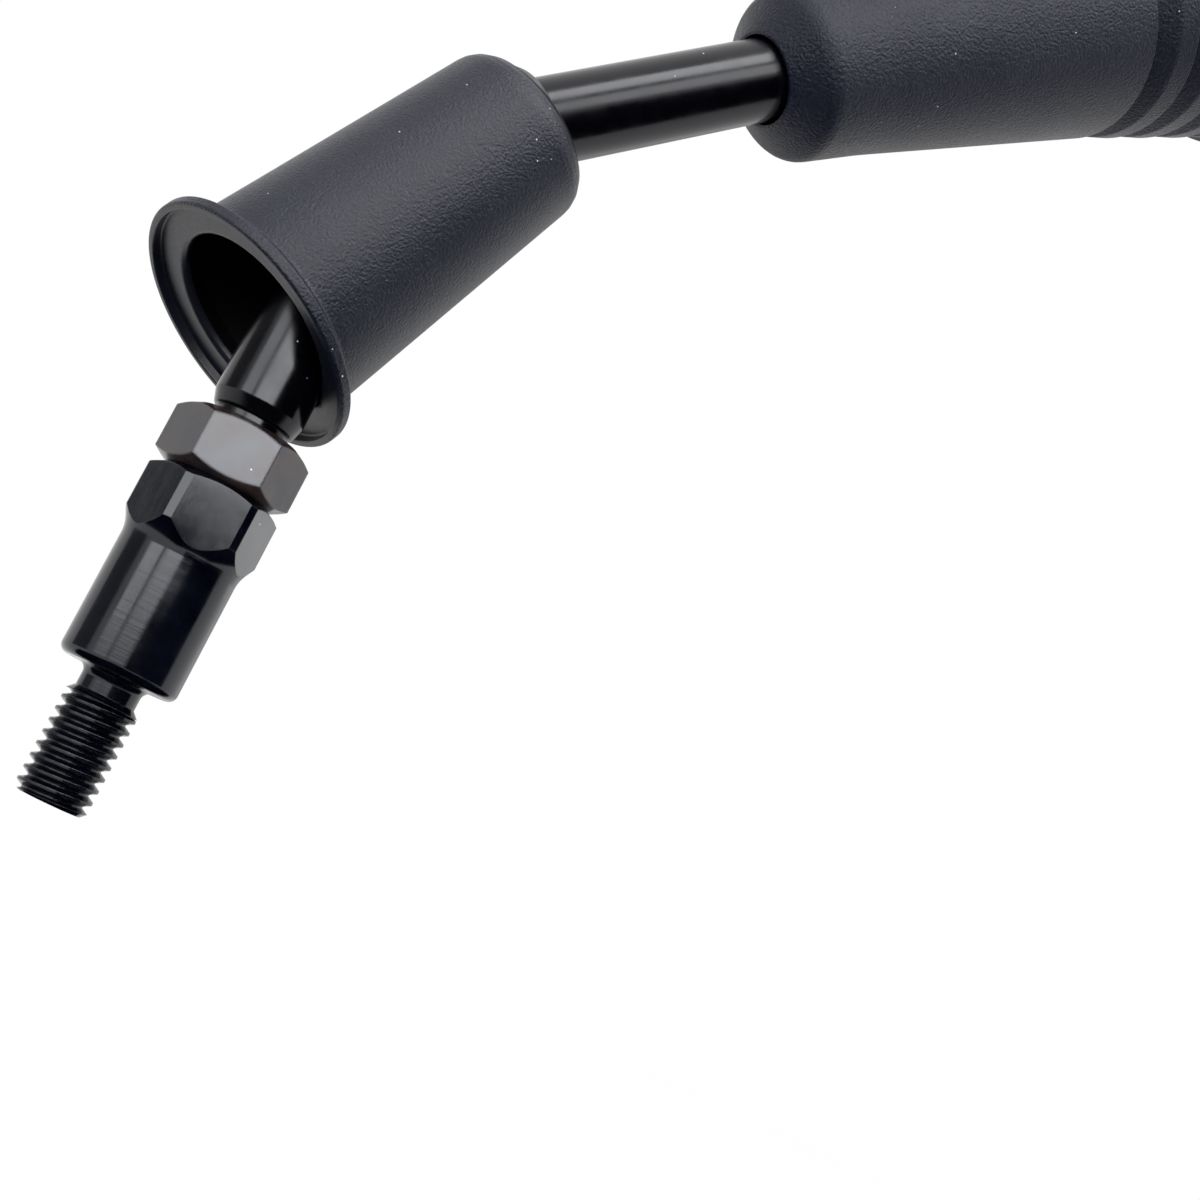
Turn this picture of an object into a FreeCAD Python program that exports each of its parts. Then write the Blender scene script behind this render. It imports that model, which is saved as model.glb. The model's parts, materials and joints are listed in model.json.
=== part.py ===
import FreeCAD
import Part
import math
import os
from FreeCAD import Vector

# Mirror stem: a stud adapter, its lock nut, a bent rod, two rubber boots and the ball joint of the head.
# The origin is the centre of the adapter's seating face. +Z runs up the adapter, and the rod bends
# towards +X. Sizes are in millimetres and angles in degrees.

# Fits
THREAD_FIT = 0.08
RUBBER_GAP = 0.3
BALL_FIT = 0.06
SCREW_HOLE_GAP = 0.15

# Stud adapter: stud with a coarse thread, relief neck, round body, flare and hexagon. The bar it is turned
# from is narrower than the hexagon's corners, so that they come out as narrow round bands.
STUD_R = 4.7625
STUD_PITCH = 1.5875
STUD_THREAD_DEPTH = 0.9
STUD_THREAD_TURN = -122.0
STUD_THREAD_RUNOUT = 0.66
STUD_LENGTH = 17.2
STUD_TIP_CHAMFER = 0.65
NECK_R = 3.9
NECK_LENGTH = 2.8
NECK_FILLET = 1.2
BODY_R = 7.8
BODY_EDGE_ROUND = 1.2
BODY_LENGTH = 16.3
FLARE_ROUND = 5.0
FLARE_ANGLE = 26.0
ADAPTER_LENGTH = 26.85
ADAPTER_FLATS = 16.0
ADAPTER_BAR_R = 8.92
ADAPTER_END_R = 7.05
ADAPTER_TURN = 47.5
SOCKET_DEPTH = 22.0
COUNTERSINK = 0.6

# Lock nut
NUT_HEIGHT = 8.4
NUT_FLATS = 16.0
NUT_END_R = 7.05
NUT_TURN = 41.5

# The chamfer on the ends of both hexagons, measured from the end face
HEX_CHAMFER = 30.0

# Stem rod: threaded shank, shoulder with a chamfered rim, straight leg, bend and upper leg
SHANK_R = 4.9
SHANK_PITCH = 1.25
SHANK_THREAD_DEPTH = 0.6
SHANK_ENGAGED = 18.0
SHANK_SHOWN = 1.2
SHOULDER_R = 5.5
SHOULDER_RIM = 0.2
SHOULDER_LENGTH = 1.9
ROD_R = 6.1
LOWER_LEG = 20.31
BEND_RADIUS = 45.46
BEND_ANGLE = 45.5

# Lower boot: a tapered rubber sleeve with a flanged bell mouth. Its axis passes through the grip lip,
# which sits where the bend ends. Lean is measured from +Z towards +X, side from that plane towards +Y.
# The flange's face is sunk inside a narrow rim, and its back slopes down to the sleeve.
BOOT_LENGTH = 48.5
BOOT_END = 1.5
BOOT_LEAN = 22.08
BOOT_SIDE = -2.69
BOOT_END_FLAT_R = 9.0
BOOT_END_ROUND = 3.6
BOOT_END_BULGE = 0.72
BOOT_END_DROP = 0.27
BOOT_NARROW_R = 12.3
BOOT_WIDE_R = 14.9
BOOT_WALL = 1.8
MOUTH_LEAN = 27.32
MOUTH_SIDE = 6.77
FLANGE_R = 18.0
FLANGE_THICK = 1.5
FLANGE_EDGE = 0.35
FLANGE_SLOPE = 1.6
FLANGE_SLOPE_RISE = 0.7
FLANGE_FOOT = 1.0
FLANGE_RIM = 1.05
FLANGE_RECESS = 1.3
MOUTH_R = 12.6
MOUTH_ROUND = 0.7
LIP_R = 8.2
LIP_WIDTH = 2.6

# Upper boot: a long rubber cone round the upper leg, measured from the end of the bend
UPPER_BOOT_START = 42.0
UPPER_BOOT_LENGTH = 64.84
UPPER_BOOT_NOSE = 5.6
UPPER_BOOT_NOSE_BULGE = 0.55
UPPER_BOOT_NOSE_DROP = 0.45
UPPER_BOOT_FRONT_R = 7.1
UPPER_BOOT_NOSE_R = 12.65
UPPER_BOOT_END_R = 19.2
UPPER_BOOT_WALL = 2.2
UPPER_BOOT_MOUTH_R = 6.9
UPPER_BOOT_MOUTH_DEPTH = 1.6
UPPER_BOOT_LIP = 6.0

# Bellows: stepped rings that widen towards the head
RING_COUNT = 4
RING_PITCH = 8.5
RING_GROWTH = 1.37
RING_GROOVE_DEPTH = 2.0
RING_EDGE = 0.4
RING_GROOVE_END = 1.8
RING_SHOULDER = 4.8
RING_SHOULDER_DROP = 0.8
BELLOWS_WALL = 1.5
CUFF_LENGTH = 4.6
CUFF_WALL = 1.6

# Ball joint of the head, centred in the bellows
BALL_R = 8.0
BALL_NECK_R = 4.6
BALL_NECK_LENGTH = 7.0
BALL_FOOT = 6.4
BALL_TOP = 7.0
SPIGOT_R = 3.2
LINER_THICK = 1.3
LINER_REACH = 5.0
LINER_GAP = 1.2
CUP_WALL = 1.3
CUP_REACH = 5.4
CLAMP_GAP = 0.5
CLAMP_FLANGE_R = 16.4
CLAMP_FLANGE_THICK = 1.8
SEAT_TOP = 11.0
SCREW_COUNT = 3
SCREW_R = 1.5
SCREW_CIRCLE_R = 13.4
SCREW_HEAD_R = 2.7
SCREW_HEAD_HEIGHT = 2.0
SCREW_SOCKET_FLATS = 2.4
SCREW_SOCKET_DEPTH = 1.0
SCREW_GRIP = 6.0
WASHER_THICK = 0.6

# Head bracket and gasket
BRACKET_BOSS_R = 17.2
PLATE_R = 27.0
PLATE_THICK = 3.0
PLATE_EDGE_ROUND = 0.8
HEAD_BOLT_COUNT = 3
HEAD_BOLT_CIRCLE_R = 13.0
HEAD_BOLT_HOLE_R = 2.1
HEAD_BOLT_DEPTH = 9.0
GASKET_THICK = 1.5
GASKET_BORE_R = 7.0
GASKET_MARGIN = 0.8
GASKET_HOLE_GAP = 0.5

Z = Vector(0, 0, 1)


def turned(start, *steps):
    """Solid of revolution about Z. A step is a point (r, z), or a pair (middle, end) for an arc."""
    edges = []
    here = Vector(start[0], 0, start[1])
    first = here
    for step in steps + (start,):
        if isinstance(step[0], tuple):
            middle = Vector(step[0][0], 0, step[0][1])
            there = Vector(step[1][0], 0, step[1][1])
            edges.append(Part.Arc(here, middle, there).toShape())
        else:
            there = Vector(step[0], 0, step[1])
            if there.distanceToPoint(here) > 1e-7:
                edges.append(Part.makeLine(here, there))
        here = there
    assert here.distanceToPoint(first) < 1e-7
    solid = Part.Face(Part.Wire(edges)).revolve(Vector(0, 0, 0), Z, 360)
    return Part.Solid(solid) if solid.ShapeType != "Solid" else solid


def round_step(centre, radius, start_angle, end_angle):
    """Arc step of a turned profile about a centre, from one angle to another."""
    def at(angle):
        a = math.radians(angle)
        return (centre[0] + radius * math.cos(a), centre[1] + radius * math.sin(a))
    return (at((start_angle + end_angle) / 2), at(end_angle))


def cylinder(radius, bottom, top):
    return Part.makeCylinder(radius, top - bottom, Vector(0, 0, bottom))


def tube(outer, inner, bottom, top):
    return cylinder(outer, bottom, top).cut(cylinder(inner, bottom - 1, top + 1))


def hexagon(flats, bottom, top, turn):
    """Hexagonal prism about Z with a corner at the angle turn from +X."""
    corner = flats / 2 / math.cos(math.radians(30))
    points = []
    for k in range(7):
        a = math.radians(turn + 60 * k)
        points.append(Vector(corner * math.cos(a), corner * math.sin(a), bottom))
    return Part.Face(Part.makePolygon(points)).extrude(Vector(0, 0, top - bottom))


def thread_groove(radius, depth, pitch, bottom, top):
    """Helical V groove with 60 degree flanks, to cut from a cylinder of the given radius."""
    outside = 0.1
    root = pitch / 16
    half = root + depth * math.tan(math.radians(30))
    half_outside = half + outside * math.tan(math.radians(30))
    corners = [(radius + outside, -half_outside), (radius - depth, -root)]
    corners += [(radius - depth, root), (radius + outside, half_outside)]
    points = [Vector(r, 0, bottom + z) for r, z in corners]
    profile = Part.makePolygon(points + points[:1])
    helix = Part.makeHelix(pitch, top - bottom, radius)
    helix.translate(Vector(0, 0, bottom))
    return Part.Wire(helix.Edges).makePipeShell([profile], True, True)


def spread(shape, count, start=0.0):
    """Copies of a shape at equal angles about Z."""
    copies = []
    for k in range(count):
        copy = shape.copy()
        copy.rotate(Vector(0, 0, 0), Z, start + 360 * k / count)
        copies.append(copy)
    return copies


def direction(lean, side):
    a = math.radians(lean)
    b = math.radians(side)
    return Vector(math.cos(b) * math.sin(a), math.sin(b), math.cos(b) * math.cos(a))


def placed(shape, place):
    moved = shape.copy()
    moved.Placement = place.multiply(moved.Placement)
    return moved


def check(name, shape):
    solids = shape.Solids
    assert shape.isValid() and solids, name
    return solids[0] if len(solids) == 1 else Part.makeCompound(solids)


# Stations along Z
nut_top = ADAPTER_LENGTH + NUT_HEIGHT
shoulder_start = nut_top + SHANK_SHOWN
shoulder_end = shoulder_start + SHOULDER_LENGTH
bend_start = shoulder_end + LOWER_LEG
shank_end = ADAPTER_LENGTH - SHANK_ENGAGED
thread_hole_r = SHANK_R + THREAD_FIT

# The upper leg's frame: its origin is the end of the bend, and its Z runs along the rod
bend = math.radians(BEND_ANGLE)
bend_end = Vector(BEND_RADIUS * (1 - math.cos(bend)), 0, bend_start + BEND_RADIUS * math.sin(bend))
upper_leg = FreeCAD.Placement(bend_end, FreeCAD.Rotation(Vector(0, 1, 0), BEND_ANGLE))
upper_direction = direction(BEND_ANGLE, 0)

# Stud adapter
flare = math.radians(FLARE_ANGLE)
flare_r = BODY_R + FLARE_ROUND * (1 - math.cos(flare))
flare_z = BODY_LENGTH + FLARE_ROUND * math.sin(flare)
flare_top = flare_z + (ADAPTER_BAR_R - flare_r) / math.tan(flare)
hex_chamfer = math.radians(HEX_CHAMFER)
chamfer_start = ADAPTER_LENGTH - (ADAPTER_BAR_R - ADAPTER_END_R) * math.tan(hex_chamfer)
neck_start = -NECK_LENGTH
neck_ramp = STUD_R - NECK_R
thread_top = neck_start - neck_ramp
threaded = cylinder(STUD_R, -STUD_LENGTH, thread_top)
groove_start = -STUD_LENGTH - STUD_PITCH / 2
groove_end = thread_top + STUD_THREAD_RUNOUT
threaded = threaded.cut(thread_groove(STUD_R, STUD_THREAD_DEPTH, STUD_PITCH, groove_start, groove_end))
tip_ring = turned(
    (STUD_R + 1, -STUD_LENGTH - 1),
    (STUD_R + 1, STUD_TIP_CHAMFER - STUD_LENGTH + 1),
    (STUD_R - STUD_TIP_CHAMFER - 1, -STUD_LENGTH - 1),
)
threaded = threaded.cut(tip_ring)
threaded.rotate(Vector(0, 0, 0), Z, STUD_THREAD_TURN)
stem_side = turned(
    (0, thread_top),
    (STUD_R, thread_top),
    (NECK_R, neck_start),
    (NECK_R, -NECK_FILLET),
    round_step((NECK_R + NECK_FILLET, -NECK_FILLET), NECK_FILLET, 180, 90),
    (BODY_R - BODY_EDGE_ROUND, 0),
    round_step((BODY_R - BODY_EDGE_ROUND, BODY_EDGE_ROUND), BODY_EDGE_ROUND, -90, 0),
    (BODY_R, BODY_LENGTH),
    (0, BODY_LENGTH),
)
stem_side = threaded.fuse(stem_side)
head_side = turned(
    (0, BODY_LENGTH),
    (BODY_R, BODY_LENGTH),
    round_step((BODY_R + FLARE_ROUND, BODY_LENGTH), FLARE_ROUND, 180, 180 - FLARE_ANGLE),
    (ADAPTER_BAR_R, flare_top),
    (ADAPTER_BAR_R, chamfer_start),
    (ADAPTER_END_R, ADAPTER_LENGTH),
    (0, ADAPTER_LENGTH),
)
head_side = head_side.common(hexagon(ADAPTER_FLATS, BODY_LENGTH, ADAPTER_LENGTH, ADAPTER_TURN))
socket = turned(
    (0, ADAPTER_LENGTH - SOCKET_DEPTH),
    (thread_hole_r, ADAPTER_LENGTH - SOCKET_DEPTH),
    (thread_hole_r, ADAPTER_LENGTH - COUNTERSINK),
    (thread_hole_r + COUNTERSINK + 1, ADAPTER_LENGTH + 1),
    (0, ADAPTER_LENGTH + 1),
)
stud_adapter = stem_side.fuse(head_side).removeSplitter().cut(socket)

# Lock nut
nut_corner_r = NUT_FLATS / 2 / math.cos(math.radians(30))
nut_chamfer = (nut_corner_r - NUT_END_R) * math.tan(hex_chamfer)
nut_blank = turned(
    (0, ADAPTER_LENGTH),
    (NUT_END_R, ADAPTER_LENGTH),
    (nut_corner_r, ADAPTER_LENGTH + nut_chamfer),
    (nut_corner_r, nut_top - nut_chamfer),
    (NUT_END_R, nut_top),
    (0, nut_top),
)
nut_bore = turned(
    (0, ADAPTER_LENGTH - 1),
    (thread_hole_r + COUNTERSINK + 1, ADAPTER_LENGTH - 1),
    (thread_hole_r, ADAPTER_LENGTH + COUNTERSINK),
    (thread_hole_r, nut_top - COUNTERSINK),
    (thread_hole_r + COUNTERSINK + 1, nut_top + 1),
    (0, nut_top + 1),
)
lock_nut = nut_blank.common(hexagon(NUT_FLATS, ADAPTER_LENGTH, nut_top, NUT_TURN)).cut(nut_bore)

# Stem rod. The shank's thread is cut where it shows above the nut.
ball_centre = UPPER_BOOT_START + UPPER_BOOT_LENGTH + RING_COUNT * RING_PITCH / 2
neck_bottom = ball_centre - BALL_FOOT - BALL_NECK_LENGTH
lower_rod = turned(
    (0, shank_end),
    (SHANK_R - SHANK_THREAD_DEPTH, shank_end),
    (SHANK_R, shank_end + SHANK_THREAD_DEPTH),
    (SHANK_R, shoulder_start),
    (SHOULDER_R - SHOULDER_RIM, shoulder_start),
    (SHOULDER_R, shoulder_start + SHOULDER_RIM),
    (ROD_R, shoulder_end),
    (ROD_R, bend_start),
    (0, bend_start),
)
shown_thread = thread_groove(
    SHANK_R, SHANK_THREAD_DEPTH, SHANK_PITCH, nut_top - SHANK_PITCH, shoulder_start - SHANK_PITCH / 2
)
lower_rod = lower_rod.cut(shown_thread)
bend_section = Part.Face(Part.Wire(Part.makeCircle(ROD_R, Vector(0, 0, bend_start))))
bend_solid = bend_section.revolve(Vector(BEND_RADIUS, 0, bend_start), Vector(0, 1, 0), BEND_ANGLE)
upper_rod = turned(
    (0, 0),
    (ROD_R, 0),
    (ROD_R, neck_bottom - (ROD_R - BALL_NECK_R)),
    (BALL_NECK_R, neck_bottom),
    (BALL_NECK_R, ball_centre - BALL_FOOT),
    (SPIGOT_R, ball_centre - BALL_FOOT),
    (SPIGOT_R, ball_centre + BALL_TOP),
    (0, ball_centre + BALL_TOP),
)
stem_rod = lower_rod.fuse([bend_solid, placed(upper_rod, upper_leg)])

# Lower boot, in a frame whose origin is the grip lip's centre and whose Z runs to the narrow end
boot_axis = direction(BOOT_LEAN, BOOT_SIDE)
boot_place = FreeCAD.Placement(bend_end, FreeCAD.Rotation(Z, boot_axis))
mouth_axis = direction(MOUTH_LEAN, MOUTH_SIDE)
mouth_centre = bend_end - boot_axis * BOOT_LENGTH
mouth_place = FreeCAD.Placement(mouth_centre, FreeCAD.Rotation(Z, mouth_axis))
lip_bore_r = ROD_R + RUBBER_GAP
lip_seat_r = LIP_R + RUBBER_GAP
over = 2 * BOOT_WIDE_R
taper = (BOOT_WIDE_R - BOOT_NARROW_R) / (BOOT_LENGTH - BOOT_END_ROUND)
wide_end_r = BOOT_WIDE_R + taper * over
end_bulge_r = BOOT_END_FLAT_R + BOOT_END_BULGE * (BOOT_NARROW_R - BOOT_END_FLAT_R)
end_bulge = (end_bulge_r, BOOT_END - BOOT_END_DROP * BOOT_END_ROUND)
boot_outside = turned(
    (0, BOOT_END),
    (BOOT_END_FLAT_R, BOOT_END),
    (end_bulge, (BOOT_NARROW_R, BOOT_END - BOOT_END_ROUND)),
    (wide_end_r, -BOOT_LENGTH - over),
    (0, -BOOT_LENGTH - over),
)
half_lip = LIP_WIDTH / 2
boot_inside = turned(
    (0, BOOT_END + 1),
    (lip_seat_r, BOOT_END + 1),
    (lip_seat_r, -half_lip),
    (BOOT_NARROW_R - BOOT_WALL, -half_lip - BOOT_END_ROUND),
    (wide_end_r - BOOT_WALL, -BOOT_LENGTH - over),
    (0, -BOOT_LENGTH - over),
)
flange_back = FLANGE_THICK + FLANGE_SLOPE_RISE
past_mouth = placed(cylinder(2 * over, 0, 3 * over), mouth_place)
past_flange = placed(cylinder(2 * over, flange_back, 3 * over), mouth_place)
flange = placed(
    turned(
        (0, 0),
        (FLANGE_R - FLANGE_EDGE, 0),
        (FLANGE_R, FLANGE_EDGE),
        (FLANGE_R, FLANGE_THICK - FLANGE_EDGE),
        (FLANGE_R - FLANGE_EDGE, FLANGE_THICK),
        (FLANGE_R - FLANGE_SLOPE, flange_back),
        (BOOT_WIDE_R, flange_back + FLANGE_FOOT),
        (0, flange_back + FLANGE_FOOT),
    ),
    mouth_place,
)
mouth_hole = placed(
    turned(
        (0, -1),
        (MOUTH_R + MOUTH_ROUND, -1),
        (MOUTH_R + MOUTH_ROUND, FLANGE_RECESS),
        round_step((MOUTH_R + MOUTH_ROUND, FLANGE_RECESS + MOUTH_ROUND), MOUTH_ROUND, -90, -180),
        (MOUTH_R, flange_back + 1),
        (0, flange_back + 1),
    ),
    mouth_place,
)
sunk_face = placed(cylinder(FLANGE_R - FLANGE_RIM, -1, FLANGE_RECESS), mouth_place)
lower_boot = placed(boot_outside, boot_place).common(past_mouth).fuse(flange).removeSplitter()
lower_boot = lower_boot.cut(placed(boot_inside, boot_place).common(past_flange))
lower_boot = lower_boot.cut([mouth_hole, sunk_face])

# Grip lip: a rounded rubber bead square on the rod, inside the boot's narrow end
lip_side_r = math.sqrt(LIP_R ** 2 - half_lip ** 2)
lower_boot_lip = placed(
    turned(
        (lip_bore_r, -half_lip),
        (lip_side_r, -half_lip),
        ((LIP_R, 0), (lip_side_r, half_lip)),
        (lip_bore_r, half_lip),
    ),
    upper_leg,
)

# Upper boot
nose_end = UPPER_BOOT_START + UPPER_BOOT_NOSE
boot_end = UPPER_BOOT_START + UPPER_BOOT_LENGTH
nose_bulge_r = UPPER_BOOT_FRONT_R + UPPER_BOOT_NOSE_BULGE * (UPPER_BOOT_NOSE_R - UPPER_BOOT_FRONT_R)
nose_bulge = (nose_bulge_r, UPPER_BOOT_START + UPPER_BOOT_NOSE_DROP * UPPER_BOOT_NOSE)
mouth_end = UPPER_BOOT_START + UPPER_BOOT_MOUTH_DEPTH
mouth_step = UPPER_BOOT_MOUTH_R - ROD_R - RUBBER_GAP
upper_boot = placed(
    turned(
        (ROD_R + RUBBER_GAP, mouth_end + mouth_step),
        (UPPER_BOOT_MOUTH_R, mouth_end),
        (UPPER_BOOT_MOUTH_R, UPPER_BOOT_START),
        (UPPER_BOOT_FRONT_R, UPPER_BOOT_START),
        (nose_bulge, (UPPER_BOOT_NOSE_R, nose_end)),
        (UPPER_BOOT_END_R, boot_end),
        (UPPER_BOOT_END_R - UPPER_BOOT_WALL, boot_end),
        (UPPER_BOOT_NOSE_R - UPPER_BOOT_WALL, nose_end),
        (ROD_R + RUBBER_GAP, UPPER_BOOT_START + UPPER_BOOT_LIP),
    ),
    upper_leg,
)

# Bellows: each ring is a ruled skin through four circles, and the cuff sits on the bracket's collar
cuff_start = boot_end + RING_COUNT * RING_PITCH
cuff_end = cuff_start + RING_EDGE + CUFF_LENGTH
last_ring_r = UPPER_BOOT_END_R + RING_COUNT * RING_GROWTH
cuff_outer_r = last_ring_r - RING_GROOVE_DEPTH / 2
collar_r = cuff_outer_r - CUFF_WALL - RUBBER_GAP
ring_stations = []
for k in range(RING_COUNT):
    start = boot_end + k * RING_PITCH
    edge_r = UPPER_BOOT_END_R + k * RING_GROWTH
    next_r = edge_r + RING_GROWTH
    ring_stations.append((edge_r - RING_GROOVE_DEPTH, start + RING_EDGE))
    ring_stations.append((edge_r - RING_GROOVE_DEPTH, start + RING_GROOVE_END))
    ring_stations.append((next_r - RING_SHOULDER_DROP, start + RING_SHOULDER))
    ring_stations.append((next_r, start + RING_PITCH))
ring_stations = [(UPPER_BOOT_END_R - RING_EDGE, boot_end)] + ring_stations
ring_wires = [Part.Wire(Part.makeCircle(r, Vector(0, 0, z))) for r, z in ring_stations]
rings = Part.makeLoft(ring_wires, True, True)
cuff = cylinder(cuff_outer_r, cuff_start, cuff_end)
bore_start_r = UPPER_BOOT_END_R - RING_GROOVE_DEPTH - BELLOWS_WALL
bore_end_r = bore_start_r + (RING_COUNT - 1) * RING_GROWTH
bellows_bore = turned(
    (0, boot_end - 1),
    (bore_start_r, boot_end - 1),
    (bore_start_r, boot_end),
    (bore_end_r, cuff_start),
    (collar_r + RUBBER_GAP, cuff_start),
    (collar_r + RUBBER_GAP, cuff_end + 1),
    (0, cuff_end + 1),
)
boot_bellows = placed(rings.fuse(cuff).cut(bellows_bore), upper_leg)

# Ball joint, in the upper leg's frame moved to the ball's centre
joint_place = upper_leg.multiply(FreeCAD.Placement(Z * ball_centre, FreeCAD.Rotation()))
liner_in_r = BALL_R + BALL_FIT
liner_out_r = liner_in_r + LINER_THICK
cup_in_r = liner_out_r + BALL_FIT
cup_out_r = cup_in_r + CUP_WALL
whole_ball = Part.makeSphere(BALL_R)
stem_ball = whole_ball.common(cylinder(BALL_R + 1, -BALL_FOOT, BALL_TOP))
stem_ball = placed(stem_ball.cut(cylinder(SPIGOT_R, -BALL_R - 1, BALL_R + 1)), joint_place)
liner_shell = Part.makeSphere(liner_out_r).cut(Part.makeSphere(liner_in_r))
lower_zone = cylinder(liner_out_r + 1, -LINER_REACH, -LINER_GAP)
upper_zone = cylinder(liner_out_r + 1, LINER_GAP, LINER_REACH)
ball_liner_lower = placed(liner_shell.common(lower_zone), joint_place)
ball_liner_upper = placed(liner_shell.common(upper_zone), joint_place)
cup_hollow = Part.makeSphere(cup_in_r)
flange_low = CLAMP_GAP + CLAMP_FLANGE_THICK
clamp_hole = cylinder(SCREW_R + SCREW_HOLE_GAP, -BALL_R * 3, BALL_R * 3)
clamp_hole.translate(Vector(SCREW_CIRCLE_R, 0, 0))
clamp_holes = spread(clamp_hole, SCREW_COUNT)
retainer_cup = Part.makeSphere(cup_out_r).common(cylinder(cup_out_r + 1, -CUP_REACH, -CLAMP_GAP))
retainer = retainer_cup.fuse(cylinder(CLAMP_FLANGE_R, -flange_low, -CLAMP_GAP)).removeSplitter()
socket_retainer = placed(retainer.cut([cup_hollow] + clamp_holes), joint_place)
seat_cup = cylinder(cup_out_r, CLAMP_GAP, SEAT_TOP)
seat = seat_cup.fuse(cylinder(CLAMP_FLANGE_R, CLAMP_GAP, flange_low)).removeSplitter()
socket_seat = placed(seat.cut([cup_hollow] + clamp_holes), joint_place)

# Clamp screws and their washers, put in from below
washer_bottom = -flange_low - WASHER_THICK
screw_tip = flange_low + SCREW_GRIP
head_bottom = washer_bottom - SCREW_HEAD_HEIGHT
screw = cylinder(SCREW_HEAD_R, head_bottom, washer_bottom)
screw = screw.fuse(cylinder(SCREW_R, washer_bottom, screw_tip)).removeSplitter()
screw = screw.cut(hexagon(SCREW_SOCKET_FLATS, head_bottom, head_bottom + SCREW_SOCKET_DEPTH, 0))
screw.translate(Vector(SCREW_CIRCLE_R, 0, 0))
clamp_screws = placed(Part.makeCompound(spread(screw, SCREW_COUNT)), joint_place)
washer = tube(SCREW_HEAD_R, SCREW_R + SCREW_HOLE_GAP, washer_bottom, -flange_low)
washer.translate(Vector(SCREW_CIRCLE_R, 0, 0))
lock_washers = placed(Part.makeCompound(spread(washer, SCREW_COUNT)), joint_place)

# Head bracket: a boss over the seat, the collar for the boot's cuff, and the plate
plate_bottom = cuff_end - ball_centre
plate_top = plate_bottom + PLATE_THICK
collar_bottom = plate_bottom - CUFF_LENGTH
bracket = turned(
    (0, flange_low),
    (BRACKET_BOSS_R, flange_low),
    (BRACKET_BOSS_R, collar_bottom),
    (collar_r, collar_bottom),
    (collar_r, plate_bottom),
    (PLATE_R - PLATE_EDGE_ROUND, plate_bottom),
    round_step((PLATE_R - PLATE_EDGE_ROUND, plate_bottom + PLATE_EDGE_ROUND), PLATE_EDGE_ROUND, -90, 0),
    (PLATE_R, plate_top - PLATE_EDGE_ROUND),
    round_step((PLATE_R - PLATE_EDGE_ROUND, plate_top - PLATE_EDGE_ROUND), PLATE_EDGE_ROUND, 0, 90),
    (0, plate_top),
)
seat_pocket = cylinder(cup_out_r + SCREW_HOLE_GAP, flange_low - 1, SEAT_TOP)
tapped = cylinder(SCREW_R, flange_low - 1, screw_tip + 1)
tapped.translate(Vector(SCREW_CIRCLE_R, 0, 0))
head_bolt = cylinder(HEAD_BOLT_HOLE_R, plate_top - HEAD_BOLT_DEPTH, plate_top + 1)
head_bolt.translate(Vector(HEAD_BOLT_CIRCLE_R, 0, 0))
half_turn = 180 / HEAD_BOLT_COUNT
head_bolts = spread(head_bolt, HEAD_BOLT_COUNT, half_turn)
bracket = bracket.cut([seat_pocket] + spread(tapped, SCREW_COUNT) + head_bolts)
head_bracket = placed(bracket, joint_place)
gasket_top = plate_top + GASKET_THICK
gasket = tube(PLATE_R - GASKET_MARGIN, GASKET_BORE_R, plate_top, gasket_top)
gasket_hole = cylinder(HEAD_BOLT_HOLE_R + GASKET_HOLE_GAP, plate_top - 1, gasket_top + 1)
gasket_hole.translate(Vector(HEAD_BOLT_CIRCLE_R, 0, 0))
head_gasket = placed(gasket.cut(spread(gasket_hole, HEAD_BOLT_COUNT, half_turn)), joint_place)

nodes = {
    "stud_adapter": stud_adapter,
    "lock_nut": lock_nut,
    "stem_rod": stem_rod,
    "lower_boot": lower_boot,
    "lower_boot_lip": lower_boot_lip,
    "upper_boot": upper_boot,
    "boot_bellows": boot_bellows,
    "stem_ball": stem_ball,
    "ball_liner_lower": ball_liner_lower,
    "ball_liner_upper": ball_liner_upper,
    "socket_retainer": socket_retainer,
    "socket_seat": socket_seat,
    "clamp_screws": clamp_screws,
    "lock_washers": lock_washers,
    "head_bracket": head_bracket,
    "head_gasket": head_gasket,
}
os.makedirs("parts", exist_ok=True)
for name, shape in nodes.items():
    shape = check(name, shape)
    shape.exportStep("parts/" + name + ".step")
    box = shape.BoundBox
    print(name, len(shape.Solids), "solid(s), volume", round(shape.Volume, 2))
    print("  x", round(box.XMin, 2), round(box.XMax, 2), "y", round(box.YMin, 2), round(box.YMax, 2))
    print("  z", round(box.ZMin, 2), round(box.ZMax, 2))

boot_turn_axis = boot_axis.cross(upper_direction)
boot_turn_axis.normalize()
print("bend end", bend_end, "rod direction", upper_direction)
print("boot axis", boot_axis, "leans from the rod by", math.degrees(boot_axis.getAngle(upper_direction)))
print("boot turns about", boot_turn_axis, "mouth centre", mouth_centre)
print("ball centre", bend_end + upper_direction * ball_centre)
print("plate face", bend_end + upper_direction * (ball_centre + plate_top))
print("gasket face", bend_end + upper_direction * (ball_centre + gasket_top))
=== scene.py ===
import json
import math

import bmesh
import bpy
import numpy as np
from mathutils import Matrix, Vector


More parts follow.
